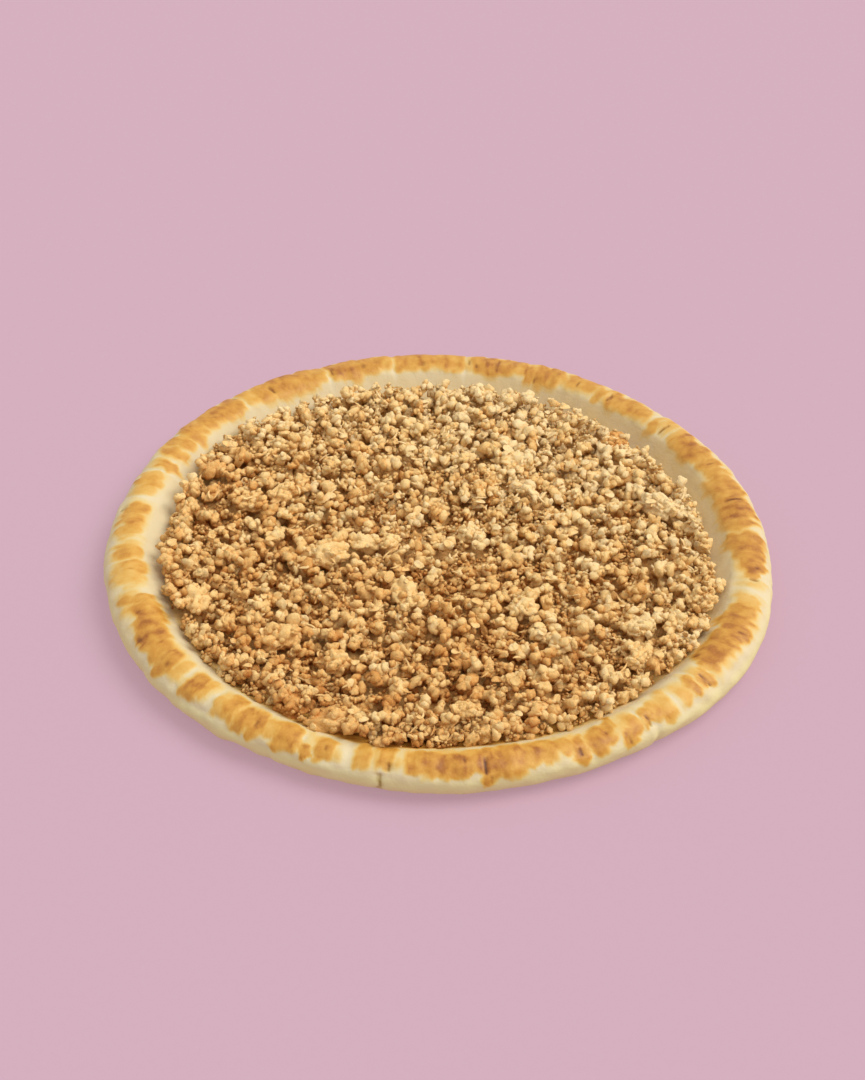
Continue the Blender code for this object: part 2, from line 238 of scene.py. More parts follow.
# Pale furrows, each as (azimuth, half-width, roll angle of the outer end, of the inner end, depth in mm)
FURROWS = (
    (34.6, 0.5, 60, 125, 0.3),
    (40.4, 0.9, 20, 125, 0.5),
    (55.3, 0.4, 95, 118, 0.2),
    (84.3, 0.45, -10, 135, 0.6),
    (99.4, 0.45, -10, 135, 0.6),
    (113.4, 0.45, -10, 135, 0.6),
    (133, 0.4, 0, 120, 0.4),
    (143.9, 0.35, 0, 118, 0.4),
    (148.9, 0.4, 20, 130, 0.5),
    (156.3, 0.6, 20, 120, 0.4),
    (159.9, 0.5, 0, 135, 0.7),
    (168.6, 0.9, 20, 120, 0.6),
    (181.2, 0.6, 40, 115, 0.3),
    (187.3, 0.4, 40, 110, 0.3),
    (195.9, 0.7, 40, 110, 0.3),
    (220.7, 0.7, 30, 110, 0.5),
    (228.2, 0.8, 20, 118, 0.7),
    (234.1, 0.45, 45, 98, 0.4),
    (236.7, 0.4, 10, 52, 0.3),
    (246.8, 0.5, 48, 98, 0.5),
    (248.9, 0.4, 30, 90, 0.3),
    (254.9, 0.7, 20, 120, 0.5),
    (259.2, 0.4, 50, 115, 0.3),
    (264.4, 0.3, 40, 88, 0.3),
    (292.6, 0.3, 20, 70, 0.3),
    (295.4, 0.4, 0, 60, 0.4),
    (305.5, 0.4, 30, 110, 0.4),
    (307.8, 0.8, -50, 46, 1.3),
    (313, 0.6, 20, 100, 0.4),
    (316.4, 0.4, 20, 90, 0.4),
    (318.9, 0.45, 50, 130, 0.5),
    (322, 0.4, 30, 110, 0.4),
    (344.6, 2.0, 30, 125, 0.4),
    (349.4, 0.5, -20, 62, 1.0),
    (211.8, 0.6, -30, 30, 0.7),
    (241.5, 0.6, -40, 20, 0.7),
)

# Dark cracks and pits, in the same form as the furrows: browned, and darkened grey inside as painted
# shade
CRACKS = (
    (10.5, 0.25, 68, 112, 0.6),
    (22.2, 0.2, 72, 100, 0.3),
    (36.4, 0.25, 82, 124, 0.9),
    (51.5, 0.35, 82, 110, 1.0),
    (59.3, 0.25, 88, 108, 0.4),
    (68.6, 0.35, 112, 132, 0.4),
    (77.4, 0.35, 72, 118, 0.3),
    (81.7, 0.4, 100, 112, 0.4),
    (83.2, 0.25, 86, 102, 0.6),
    (92.9, 0.5, 98, 112, 0.3),
    (105.6, 0.5, 92, 106, 0.3),
    (112.4, 0.4, 88, 110, 0.4),
    (126.1, 0.35, 84, 112, 0.9),
    (133.4, 0.25, 54, 76, 0.4),
    (171.8, 0.3, 40, 60, 0.9),
    (190.2, 0.25, 90, 100, 0.3),
    (208.2, 0.9, 46, 58, 0.2),
    (216.6, 0.5, 58, 72, 0.2),
    (202.3, 0.4, 72, 86, 0.2),
    (238.2, 0.3, 58, 78, 0.3),
    (251.1, 0.4, 68, 82, 0.2),
    (262.1, 0.5, 42, 64, 1.2),
    (260.9, 0.4, -50, 34, 1.0),
    (274.3, 0.25, 68, 78, 0.3),
    (277.8, 0.35, 36, 82, 0.8),
    (278.6, 0.3, 4, 30, 0.4),
    (293.7, 0.45, 38, 60, 0.9),
    (299.1, 0.4, 72, 80, 0.3),
    (302.2, 0.3, 20, 58, 0.3),
    (306.8, 0.25, 42, 74, 1.0),
    (320.2, 0.25, 44, 82, 0.8),
    (324.4, 0.5, 118, 136, 0.3),
    (333.5, 0.35, 58, 78, 0.3),
    (347.9, 0.3, 66, 86, 1.1),
    (350.9, 0.6, 66, 74, 0.3),
)

# Crumble heap, the same driving sizes as the model's
HEAP_GAP = 0.5 * MM
HEAP_INSET = 26 * MM
HEAP_INSET_PUSHES = (
    (30, 24, 3.4 * MM),
    (80, 30, 3.0 * MM),
    (118, 22, 2.2 * MM),
    (205, 16, -3.2 * MM),
    (265, 45, -4.5 * MM),
    (341, 8, -1.5 * MM),
)
HEAP_EDGE_LEVEL = 15.2 * MM
HEAP_CROWN = 1.4 * MM
HEAP_EDGE_RAGGED = 1.3 * MM
HEAP_EDGE_WAVES = 9
HEAP_BANK = 0.07
CLUMP_SINK = 0.36

# The large clumps that stand out, each as (x, y, length, width, height, turn in degrees, paleness)
CLUMPS = (
    (-14, -38, 19, 12, 11, 100, 0.8),
    (-105, -42, 15, 11, 11, 80, 0.8),
    (-50, -12, 20, 14, 10, 10, 0.8),
    (-32, -4, 14, 9, 8, 5, 0.8),
    (-21, -4, 9, 9, 8, 0, 0.7),
    (-71, 31, 14, 12, 9, 30, 0.6),
    (-87, 26, 12, 11, 9, 60, 0.5),
    (-68, -67, 16, 14, 11, 20, 0.5),
    (-41, -116, 24, 12, 11, 8, 0.3),
    (-60, -108, 14, 12, 10, 0, -0.25),
    (-43, -83, 13, 11, 9, 60, 0.4),
    (87, -80, 15, 14, 10, 110, 0.6),
    (88, -60, 14, 13, 9, 0, 0.7),
    (104, -57, 12, 9, 8, 40, 0.6),
    (20, -124, 9, 9, 9, 0, 0.5),
    (31, -121, 11, 9, 9, 150, 0.5),
    (12, -112, 12, 10, 8, 0, 0.6),
    (86, 73, 13, 12, 9, 0, -0.8),
    (103, 23, 23, 11, 9, 140, 0.9),
    (15, 2, 12, 9, 7, 0, 0.9),
    (36, 55, 18, 12, 8, 150, 0.6),
    (26, 44, 11, 8, 6, 0, 0.6),
    (117, -42, 11, 10, 9, 0, 0.4),
    (37, -48, 13, 11, 8, 20, 0.9),
    (-108, 53, 11, 9, 8, 30, 0.5),
)

# Heights over the heap, in square cells; noise over it is read at every eighth cell
CELL = 0.5 * MM
COARSE = 8
HALF_WIDTH = 136 * MM
ROLLING = 1.3 * MM
HIGHEST = 23.1 * MM

# The meal under the crumbs, which rises to banks here and there
BED_DEPTH = 5.5 * MM
BED_BANKS = 2.2 * MM
BED_INSET = 2 * MM
BED_DROP = 2.5 * MM
BED_RINGS = 72
BED_COLUMNS = 280

# How far beyond the heap's edge the crumbs lie
SPILL_PUSHES = (
    (40, 45, -2.0 * MM),
    (95, 28, -1.4 * MM),
    (139, 16, 2.4 * MM),
    (168, 14, -1.6 * MM),
    (190, 14, -2.6 * MM),
    (209, 11, -3.4 * MM),
    (245, 32, 3.2 * MM),
    (257, 15, 3.0 * MM),
    (295, 30, 3.4 * MM),
)
EDGE_FILL = 5.0 * MM
FAR_FILL = 0.9 * MM
SEED = 41

# Loose crumbs: how many, fewest and most in a group, their least, greatest and commonest radius in mm,
# places tried, how far a group sinks into what is below, and how much it keeps to the banks of meal
CRUMBS = {
    "nuggets": (510, (1, 1), (1.9, 3.8, 2.6), 4, 0.5, -1.4),
    "crumb_clusters": (2260, (4, 8), (1.3, 2.8, 1.9), 3, 0.5, -0.8),
    "small_clusters": (2050, (2, 4), (1.0, 2.3, 1.5), 3, 0.5, -0.4),
    "single_crumbs": (1300, (1, 1), (0.7, 1.9, 1.1), 10, 0.4, 0.5),
    "fine_crumbs": (4300, (1, 1), (0.45, 1.2, 0.75), 5, 0.3, 1.5),
}
FLAKES = 400
FLAKE_THICKNESS = 0.32 * MM
SHREDS = 400
SHRED_WIDTH = 0.5 * MM
SHRED_THICKNESS = 0.25 * MM

# Tints of crumbs: painted shade makes them browner deep down, less so at the far side; painted light
# makes them paler towards the far right (a metre along x and y) and on top
DEEP_PAINTED_SHADE = 0.7
PAINTED_LIGHT_TOWARDS = (2.0, 2.7)
LEAST_PAINTED_LIGHT = -0.24
PAINTED_TOP_LIGHT = 0.22

# Colours as (position, red, green, blue), from pale to burnt, and what parts of the crust are tinted by:
# the outer wall as painted light against the floor's pink bounce, the far right slope and the cracks as
# painted shade
CRUST_COLOURS = (
    (0.0, 0.70, 0.585, 0.36),
    (0.16, 0.71, 0.53, 0.22),
    (0.32, 0.71, 0.44, 0.115),
    (0.5, 0.66, 0.345, 0.058),
    (0.63, 0.57, 0.26, 0.035),
    (0.78, 0.40, 0.145, 0.018),
    (1.0, 0.12, 0.036, 0.009),
)
CRUMB_COLOURS = (
    (0.0, 0.98, 0.73, 0.375),
    (0.25, 0.95, 0.64, 0.262),
    (0.5, 0.86, 0.50, 0.168),
    (0.75, 0.735, 0.35, 0.09),
    (1.0, 0.48, 0.16, 0.026),
)
FLOOR_COLOURS = ((0.3, 0.264, 0.17, 0.208), (0.7, 0.268, 0.174, 0.212))
WALL_BOUNCE_OFFSET = (1.1, 1.18, 0.9)
PAINTED_SHADE_TINT = (0.86, 0.82, 0.86)
CRACK_SHADE_TINT = (0.34, 0.28, 0.24)

# The floor gives off half of what it shows, as a lit backdrop does, so that shadows on it stay faint
FLOOR_GLOW = (0.666, 0.431, 0.52, 1)
FLOOR_SIZE = 80

KEY_STRENGTH = 2.2
KEY_SPREAD = 44
KEY_AZIMUTH = 5
KEY_ELEVATION = 55
SURROUND_STRENGTH = 0.68

CAMERA_ELEVATION = 39.9
CAMERA_DISTANCE = 1.05
CAMERA_TARGET = (0, 0, 9 * MM)
CAMERA_NUDGE = (-2.36 * MM, 5.68 * MM)
LENS_MM = 77.05


def from_azimuth(azimuth, centre):
    """Degrees from the centre, between -180 and 180."""
    return (azimuth - centre + 180) % 360 - 180


def pushed(azimuth, pushes):
    """Sum of smooth bumps round the case at these azimuths."""
    total = 0.0
    for centre, width, push in pushes:
        total = total + push * np.exp(-((from_azimuth(azimuth, centre) / width) ** 2))
    return total


def outline(azimuth):
    """Outer radius of the case."""
    return OUTER_RADIUS + pushed(azimuth, OUTLINE_PUSHES)


def roll_point(angle):
    """(inset, height) on the rim's oval roll."""
    turn = np.radians(angle)
    return ROLL_WIDTH / 2 * (1 - np.cos(turn)), RIM_HEIGHT / 2 * (1 + np.sin(turn))


def slope_height(inset):
    """Height of the case's inner slope, a parabola from the roll down to the floor."""
    start, top = roll_point(ROLL_END)
    share = np.clip((inset - start) / (FLOOR_INSET - start), 0.0, 1.0)
    rest = 1 - share
    return rest * rest * top + 2 * rest * share * SLOPE_PULL + share * share * BASE_THICKNESS


def slope_start(azimuth):
    """How far in the inner slope starts at these azimuths, as the roll may be slimmer."""
    return roll_point(ROLL_END)[0] * (1 - pushed(azimuth, SLIM_PUSHES) * SLIM_WIDTH / ROLL_WIDTH)


def slimmed(azimuth, inset, height):
    """(inset, height) of points of the plain section where the roll may be slimmer."""
    start = roll_point(ROLL_END)[0]
    narrowed = slope_start(azimuth)
    beyond = narrowed + (inset - start) * (FLOOR_INSET - narrowed) / (FLOOR_INSET - start)
    middle = RIM_HEIGHT / 2
    slimmer = pushed(azimuth, SLIM_PUSHES) * SLIM_HEIGHT
    lowered = middle + (height - middle) * (middle - slimmer) / middle
    inset = np.where(inset < start, inset * narrowed / start, beyond)
    return inset, np.where(height > middle, lowered, height)


def slope_at(azimuth, inset):
    """Height of the inner slope at these azimuths and insets, with the roll slimmed there."""
    start = roll_point(ROLL_END)[0]
    narrowed = slope_start(azimuth)
    plain = start + (inset - narrowed) * (FLOOR_INSET - start) / (FLOOR_INSET - narrowed)
    return slimmed(azimuth, plain, slope_height(plain))[1]


def noise_at(points, per_metre, offset=0.0):
    """Smooth noise at each row of points, with about this many bumps in a metre."""
    return np.array([noise.noise((x + offset, y, z)) for x, y, z in np.asarray(points) * per_metre])


def smooth_step(value, start, end):
    """0 before start, 1 after end, and an S curve between."""
    share = np.clip((value - start) / (end - start), 0.0, 1.0)
    return share * share * (3 - 2 * share)


def heap_edge(azimuth):
    """(radius, height) of the heap's edge, where it meets the case's inner slope."""
    turn = np.radians(np.atleast_1d(azimuth))
    around = np.stack([np.cos(turn), np.sin(turn), np.full_like(turn, 0.4)], axis=1)
    ragged = HEAP_EDGE_RAGGED * noise_at(around, HEAP_EDGE_WAVES)
    inset = HEAP_INSET + pushed(np.atleast_1d(azimuth), HEAP_INSET_PUSHES) + ragged
    return outline(np.atleast_1d(azimuth)) - inset - HEAP_GAP, slope_at(azimuth, inset) + HEAP_GAP


EDGE_AZIMUTHS = np.arange(0, 361, 1.0)
EDGE_RADII, EDGE_HEIGHTS = heap_edge(EDGE_AZIMUTHS)


def crumb_edge(azimuth):
    """How far out the crumbs lie at these azimuths."""
    return np.interp(azimuth, EDGE_AZIMUTHS, EDGE_RADII) + pushed(azimuth, SPILL_PUSHES)


def heap_level(x, y):
    """(share of the way to the heap's edge, height of the heap's surface) at each point."""
    azimuth = np.degrees(np.arctan2(y, x)) % 360
    share = np.hypot(x, y) / np.interp(azimuth, EDGE_AZIMUTHS, EDGE_RADII)
    bank = smooth_step(1 - share, 0.0, HEAP_BANK)
    crowned = HEAP_EDGE_LEVEL + HEAP_CROWN * (1 - share * share)
    edge = np.interp(azimuth, EDGE_AZIMUTHS, EDGE_HEIGHTS)
    return share, edge + (crowned - edge) * bank


def new_mesh(name, points, faces, values=None):
    """A smooth-shaded mesh object from arrays of points and faces, with named values on its points."""
    points = np.clip(points, LOWEST, FARTHEST)
    mesh = bpy.data.meshes.new(name)
    sides = faces.shape[1]
    mesh.vertices.add(len(points))
    mesh.vertices.foreach_set("co", np.asarray(points, np.float32).ravel())
    mesh.loops.add(faces.size)
    mesh.loops.foreach_set("vertex_index", faces.astype(np.int32).ravel())
    mesh.polygons.add(len(faces))
    mesh.polygons.foreach_set("loop_start", np.arange(0, faces.size, sides, dtype=np.int32))
    mesh.update(calc_edges=True)
    for label, value in (values or {}).items():
        attribute = mesh.attributes.new(label, "FLOAT", "POINT")
        attribute.data.foreach_set("value", np.asarray(value, np.float32).ravel())
    mesh.shade_smooth()
    made = bpy.data.objects.new(name, mesh)
    bpy.context.scene.collection.objects.link(made)
    return made


def ring_corners(rings, columns):
    """For rings of points: the number of each point, and of the next one round its ring."""
    starts = np.arange(rings)[:, None] * columns
    following = (np.arange(columns) + 1) % columns
    return (starts + np.arange(columns)).ravel(), (starts + following).ravel()


def close_holes(piece):
    """Closes a mesh's open edges and turns its faces outwards."""
    bm = bmesh.new()
    bm.from_mesh(piece.data)
    bmesh.ops.holes_fill(bm, edges=[edge for edge in bm.edges if edge.is_boundary], sides=0)
    bmesh.ops.recalc_face_normals(bm, faces=bm.faces)
    bm.to_mesh(piece.data)
    bm.free()
    piece.data.shade_smooth()


def add_piece(piece, material):
    """Gives a piece its material and slot, and lets it ride on the model."""
    piece.data.materials.append(material)
    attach(piece, "root")


def case_rows():
    """(inset, height, roll angle) of each row of points, from the floor over the rim to the underside."""
    start = roll_point(ROLL_END)[0]
    insets = np.linspace(FLOOR_INSET, start, SLOPE_ROWS + 1)[:-1]
    slope_angles = ROLL_END + 45 * (insets - start) / (FLOOR_INSET - start)
    angles = np.linspace(ROLL_END, ROLL_START, ROLL_ROWS)
    roll_insets, roll_heights = roll_point(angles)
    insets = np.concatenate([insets, roll_insets, [ROLL_WIDTH / 2]])
    heights = np.concatenate([slope_height(insets[:SLOPE_ROWS]), roll_heights, [0.0]])
    angles = np.concatenate([slope_angles, angles, [ROLL_START - 10]])
    return insets, heights, angles


def streaks(azimuth, angle, finest, offset):
    """Noise that is drawn out across the roll, in bands of about this many degrees."""
    turn = np.radians(azimuth)
    wide = math.degrees(1) / finest
    points = np.stack([np.cos(turn) * wide, np.sin(turn) * wide, angle / 45.0], -1).reshape(-1, 3)
    return noise_at(points, 1.0, offset).reshape(azimuth.shape)


def painted_shade_slope(azimuth, angle):
    """How much painted shade each point gets in the far right part of the case, most on its inner slope.
    """
    upward = 0.4 * smooth_step(angle, 50, 75) + 0.6 * smooth_step(angle, 122, 138)
    return pushed(azimuth, PAINTED_SHADE_PUSHES) * upward


def toasting(azimuth, angle):
    """How brown each point of the case is, from 0 to 1, from the browned patches over a faint blush, and
    tanned as painted shade on the far right slope.
    """
    broad = streaks(azimuth, angle, 3.0, 11.0)
    narrow = streaks(azimuth, angle, 1.1, 23.0)
    fringe = streaks(azimuth, angle, 0.8, 17.0)
    sides = 0.9 * streaks(azimuth, 2 * angle, 4.0, 37.0) + 0.45 * narrow + 0.25 * fringe
    ends = (14 * broad + 13 * narrow + 9 * fringe) * (1 - 0.7 * smooth_step(angle, 70, 115))
    inside = smooth_step(-angle + ends, -141, -134)
    crest = smooth_step(angle + ends, 28, 66) * smooth_step(-angle + ends, -140, -98)
    crest = crest * (1 + pushed(azimuth, BLUSH_PUSHES))
    brown = BLUSH * crest * np.clip(1 + 0.9 * broad + 0.7 * narrow, 0.2, 2)
    for centre, width, outer, inner, strength in PATCHES:
        near = np.abs(from_azimuth(azimuth[0], centre)) < 1.7 * width + 3
        away = np.abs(from_azimuth(azimuth[:, near], centre) + sides[:, near]) / (width + 0.45)
        half = (inner - outer) / 2 + 7
        along = np.abs(angle[:, near] - (inner + outer) / 2 + ends[:, near]) / half
        reached = (away**2.6 + along**3.4) ** (1 / 3)
        patch = strength * smooth_step(-reached, -1.2, -0.72)
        brown[:, near] = np.maximum(brown[:, near], patch) + 0.2 * np.minimum(brown[:, near], patch)
    uneven = 1 + 0.2 * streaks(azimuth, 2.5 * angle, 0.8, 61.0)
    uneven += 0.16 * streaks(azimuth, 2 * angle, 2.2, 91.0)
    # Painted shade: the far right slope's patches are weakened and the slope is tanned
    painted_shade = painted_shade_slope(azimuth, angle)
    return np.maximum(np.clip(brown * uneven * (1 - 0.25 * painted_shade), 0, 1.15) * inside, SLOPE_SHADE_TAN * painted_shade)


def band_marks(azimuth, angle, marks, soft):
    """For furrows or cracks: (their depth, how much each point lies in one)."""
    depths = np.zeros_like(azimuth)
    inside = np.zeros_like(azimuth)
    wander = 0.35 * streaks(azimuth, angle * 2, 5.0, 53.0)
    for centre, width, outer, inner, depth in marks:
        near = np.abs(from_azimuth(azimuth[0], centre)) < 6 * width + 1
        away = from_azimuth(azimuth[:, near], centre) + wander[:, near]
        here = smooth_step(angle[:, near], outer - soft, outer + soft)
        here = here * smooth_step(-angle[:, near], -inner - soft, -inner + soft)
        narrow = here * np.exp(-((away / (0.7 * width)) ** 2))
        shade = min(1.0, 0.3 + depth)
        dent = here * np.exp(-((away / (2.6 * width)) ** 2))
        depths[:, near] += depth * MM * (0.6 * narrow + 0.4 * dent)
        inside[:, near] = np.maximum(inside[:, near], shade * narrow)
    return depths, inside


def case_relief(azimuth, angle, around, brown):
    """(height of the relief, pale furrows, dark cracks) at each point of the case."""
    relief = 0.45 * MM * noise_at(around, 60).reshape(azimuth.shape)
    relief += 0.2 * MM * noise_at(around, 170, 5.0).reshape(azimuth.shape)
    over_roll = smooth_step(angle, -30, 30) * smooth_step(-angle, -142, -118)
    relief += over_roll * 0.4 * MM * streaks(azimuth, angle, 1.6, 71.0)
    relief += over_roll * 0.6 * MM * streaks(azimuth, angle, 4.5, 83.0)
    crinkled = smooth_step(-angle, -55, -25) * (CRINKLED + pushed(azimuth, CRINKLE_PUSHES))
    relief += crinkled * 0.7 * MM * noise_at(around, 150, 9.0).reshape(azimuth.shape)
    relief += PATCH_RISE * np.clip(brown, 0, 0.8)
    furrow, pale = band_marks(azimuth, angle, FURROWS, 12)
    crack, dark = band_marks(azimuth, angle, CRACKS, 4)
    return relief - furrow - crack, pale, dark


def build_case():
    """The baked dough case, from the same turned section as the model, with creases and browning."""
    insets, heights, angles = case_rows()
    azimuths = np.arange(CASE_COLUMNS) * 360 / CASE_COLUMNS
    azimuth = np.tile(azimuths, (len(insets), 1))
    angle = np.tile(angles[:, None], (1, CASE_COLUMNS))
    turn = np.radians(azimuth)
    plain_inset = np.tile(insets[:, None], (1, CASE_COLUMNS))
    inset, height = slimmed(azimuth, plain_inset, heights[:, None] + 0 * turn)
    across = np.gradient(-inset, axis=0)
    up = np.gradient(height, axis=0)
    length = np.hypot(across, up)
    radius = outline(azimuth) - inset
    around = np.stack([radius * np.cos(turn), radius * np.sin(turn), height], -1).reshape(-1, 3)
    brown = toasting(azimuth, angle)
    relief, pale, dark = case_relief(azimuth, angle, around, brown)
    # Painted light: the outer wall is tinted yellower to offset the pink light that the floor bounces
    # onto it
    wall = smooth_step(-angle, -42, 5)
    stain_and_shade = smooth_step(crumb_edge(azimuth) - radius, -1.5 * MM, 1.5 * MM)
    stain_and_shade *= smooth_step(height, 6 * MM, 9 * MM)
    # The band beside the crumbs is stained brown, and darker at the front as painted shade
    brown = np.maximum(brown, (STAIN + pushed(azimuth, STAIN_SHADE_PUSHES)) * stain_and_shade)
    relief = (relief - SKIN_INSET) * smooth_step(height, 0.0, 2 * MM)
    radius = radius - relief * up / length
    lifted = pushed(azimuth, HEIGHT_PUSHES) * smooth_step(angle, -30, 60)
    lifted *= smooth_step(-angle, -165, -120)
    height = height + relief * across / length + lifted
    points = np.stack([radius * np.cos(turn), radius * np.sin(turn), height], -1).reshape(-1, 3)
    first, following = ring_corners(len(insets) - 1, CASE_COLUMNS)
    above, beside = first + CASE_COLUMNS, following + CASE_COLUMNS
    faces = np.stack([first, following, beside, above], -1)
    painted_shade = painted_shade_slope(azimuth, angle)
    values = {"brown": brown, "fold": pale, "spot": dark, "wall": wall, "painted_shade": painted_shade}
    case = new_mesh("crust", points, faces, values)
    close_holes(case)
    return case


class Heap:
    """The heights that crumbs are dropped on, in square cells over the case.

    level is the heap's surface, meal where the meal rises to banks, bed the meal's height, top the height
    of what is there so far, and wanted the height that is aimed at.
    """

    def __init__(self):
        self.axis = np.arange(-HALF_WIDTH, HALF_WIDTH + CELL, CELL)
        x, y = np.meshgrid(self.axis, self.axis, indexing="ij")
        azimuth = np.degrees(np.arctan2(y, x)) % 360
        inset = outline(azimuth) - np.hypot(x, y)
        share, level = heap_level(x, y)
        rolling = self.blocks(x, y, (42, 3.3, 1.0), (95, 8.1, 0.7))
        self.level = level + ROLLING * rolling * smooth_step(1 - share, 0.0, 0.12)
        self.meal = self.blocks(x, y, (55, 21.7, 1.0), (130, 5.5, 0.5))
        self.bed = self.level - BED_DEPTH + BED_BANKS * smooth_step(self.meal, 0.1, 0.4)
        roll_top = RIM_HEIGHT - pushed(azimuth, SLIM_PUSHES) * SLIM_HEIGHT
        on_roll = inset < 0.8 * slope_start(azimuth)
        case_top = np.where(on_roll, roll_top, slope_at(azimuth, inset))
        self.top = np.maximum(case_top, np.where(share < 0.97, self.bed, 0))
        self.wanted = self.level + EDGE_FILL * smooth_step(share, 0.9, 0.98)
        self.wanted = self.wanted + FAR_FILL * smooth_step(y, -40 * MM, 90 * MM)

    def blocks(self, x, y, *waves):
        """Noise from waves of (bumps in a metre, offset, share), the same over each block of cells."""
        coarse = np.stack([x, y, 0 * x], -1)[::COARSE, ::COARSE]
        values = np.zeros(coarse.shape[:2])
        for per_metre, offset, share in waves:
            values += share * noise_at(coarse.reshape(-1, 3), per_metre, offset).reshape(values.shape)
        spread = np.repeat(np.repeat(values, COARSE, 0), COARSE, 1)
        return spread[: x.shape[0], : x.shape[1]]

    def cell(self, x, y):
        """The cell that holds this place."""
        return int((x + HALF_WIDTH) / CELL), int((y + HALF_WIDTH) / CELL)

    def light_and_shade_tints(self, points, tints):
        """The tints of points in the heap: browner deep down as painted shade, and paler towards the far
        right as painted light.
        """
        cells = np.clip(((points[:, :2] + HALF_WIDTH) / CELL).astype(int), 0, len(self.axis) - 1)
        below = (self.level[cells[:, 0], cells[:, 1]] - points[:, 2]) / MM
        # Painted light: paler towards the far right
        paler = np.clip(points[:, :2] @ PAINTED_LIGHT_TOWARDS, LEAST_PAINTED_LIGHT, None)
        # Painted shade: browner deep down between the crumbs, weaker towards the far side
        deepening = DEEP_PAINTED_SHADE * (1 - 0.6 * smooth_step(points[:, 1], 0, 90 * MM))
        return tints + deepening * smooth_step(below, -1.5, 5.0) - paler

    def patch(self, x, y, radius):
        """The cells under a round thing, as two slices, and its dome's height over each, up to 1."""
        reach = int(radius / CELL) + 1
        i, j = self.cell(x, y)
        rows = slice(i - reach, i + reach + 2)
        columns = slice(j - reach, j + reach + 2)
        near = (self.axis[rows, None] - x) ** 2 + (self.axis[None, columns] - y) ** 2
        return rows, columns, np.sqrt(np.clip(1 - near / radius**2, 0, None))

    def rest(self, x, y, nubs):
        """Height at which a group of nubs, each (x, y, z, radius), comes to rest."""
        middle = 0.0
        for dx, dy, dz, radius in nubs:
            rows, columns, dome = self.patch(x + dx, y + dy, radius)
            reached = np.where(dome > 0, self.top[rows, columns] + radius * dome, 0.0)
            middle = max(middle, float(reached.max()) - dz)
        return middle

    def cover(self, x, y, middle, nubs):
        """Raises the cells under a group of nubs to their tops."""
        for dx, dy, dz, radius in nubs:
            rows, columns, dome = self.patch(x + dx, y + dy, radius)
            lifted = np.where(dome > 0, middle + dz + radius * dome, 0)
            self.top[rows, columns] = np.maximum(self.top[rows, columns], lifted)


def anywhere(draw, margin):
    """A random (x, y) on the heap, at least this far inside the crumbs' edge."""
    azimuth = draw.uniform(0, 360)
    radius = (float(crumb_edge(azimuth)) - margin) * draw.random() ** 0.45
    return radius * math.cos(math.radians(azimuth)), radius * math.sin(math.radians(azimuth))


def drop(heap, draw, nubs, tries, sink, margin, banks=0.0):
    """Finds the lowest of some places for a group of nubs, rests it there and returns its middle."""
    best = None
    tallest = max(dz + radius for _, _, dz, radius in nubs)
    for _ in range(tries):
        x, y = anywhere(draw, margin)
        middle = heap.rest(x, y, nubs)
        cell = heap.cell(x, y)
        over = middle + tallest - heap.wanted[cell] - banks * heap.meal[cell] * MM
        if best is None or over < best[3]:
            best = (x, y, middle, over)
    x, y, middle, _ = best
    middle = min(middle - sink * nubs[0][3], HIGHEST - tallest)
    heap.cover(x, y, middle, nubs)
    return x, y, middle


def icosphere(subdivisions):
    """(points, triangles) of a ball of radius 1."""
    bm = bmesh.new()
    bmesh.ops.create_icosphere(bm, subdivisions=subdivisions, radius=1)
    points = np.array([vertex.co for vertex in bm.verts])
    faces = np.array([[vertex.index for vertex in face.verts] for face in bm.faces])
    bm.free()
    return points, faces


def lumpy_shapes(count, subdivisions, roughness, per_unit):
    """Several uneven balls that share their triangles."""
    ball, faces = icosphere(subdivisions)
    shapes = []
    for number in range(count):
        lumps = noise_at(ball, per_unit, 17.0 * number)
        shapes.append(ball * (1 + roughness * lumps)[:, None])
    return np.array(shapes), faces


def nugget_shapes(draw, count, subdivisions, flats, rough, knobs=0.0):
    """Several broken-looking crumbs that share their triangles, with blunt flat sides and pits."""
    ball, faces = icosphere(subdivisions)
    shapes = []
    for number in range(count):
        radius = 1.12 + 0.45 * noise_at(ball, 1.2, 17.0 * number)
        for _ in range(flats):
            way = np.array([draw.gauss(0, 1) for _ in range(3)])
            facing = ball @ (way / np.linalg.norm(way))
            cut = draw.uniform(0.62, 0.88) / np.maximum(facing, 0.05)
            radius = np.where(facing > 0.1, np.minimum(radius, cut), radius)
        way = np.array([draw.gauss(0, 1) for _ in range(3)])
        facing = ball @ (way / np.linalg.norm(way))
        radius *= 1 - 0.3 * smooth_step(facing, 0.55, 0.95)
        radius += rough * noise_at(ball, 2.9, 5.0 + 13.0 * number)
        radius += 0.4 * rough * np.array([draw.gauss(0, 1) for _ in range(len(ball))])
        if knobs:
            away = [noise.voronoi((x + 7.0 * number, y, z))[0][0] for x, y, z in ball / 0.42]
            radius += knobs * (np.sqrt(np.clip(0.62 - np.array(away) ** 2, 0, None)) - 0.5)
        shapes.append(ball * np.clip(radius, 0.4, 1.5)[:, None])
    return np.array(shapes), faces


def random_turns(draw, count):
    """Rotation matrices in every direction alike."""
    quats = np.array([[draw.gauss(0, 1) for _ in range(4)] for _ in range(count)])
    w, x, y, z = (quats / np.linalg.norm(quats, axis=1)[:, None]).T
    rows = (
        (1 - 2 * (y * y + z * z), 2 * (x * y - z * w), 2 * (x * z + y * w)),
        (2 * (x * y + z * w), 1 - 2 * (x * x + z * z), 2 * (y * z - x * w)),
        (2 * (x * z - y * w), 2 * (y * z + x * w), 1 - 2 * (x * x + y * y)),
    )
    return np.stack([np.stack(row, -1) for row in rows], 1)


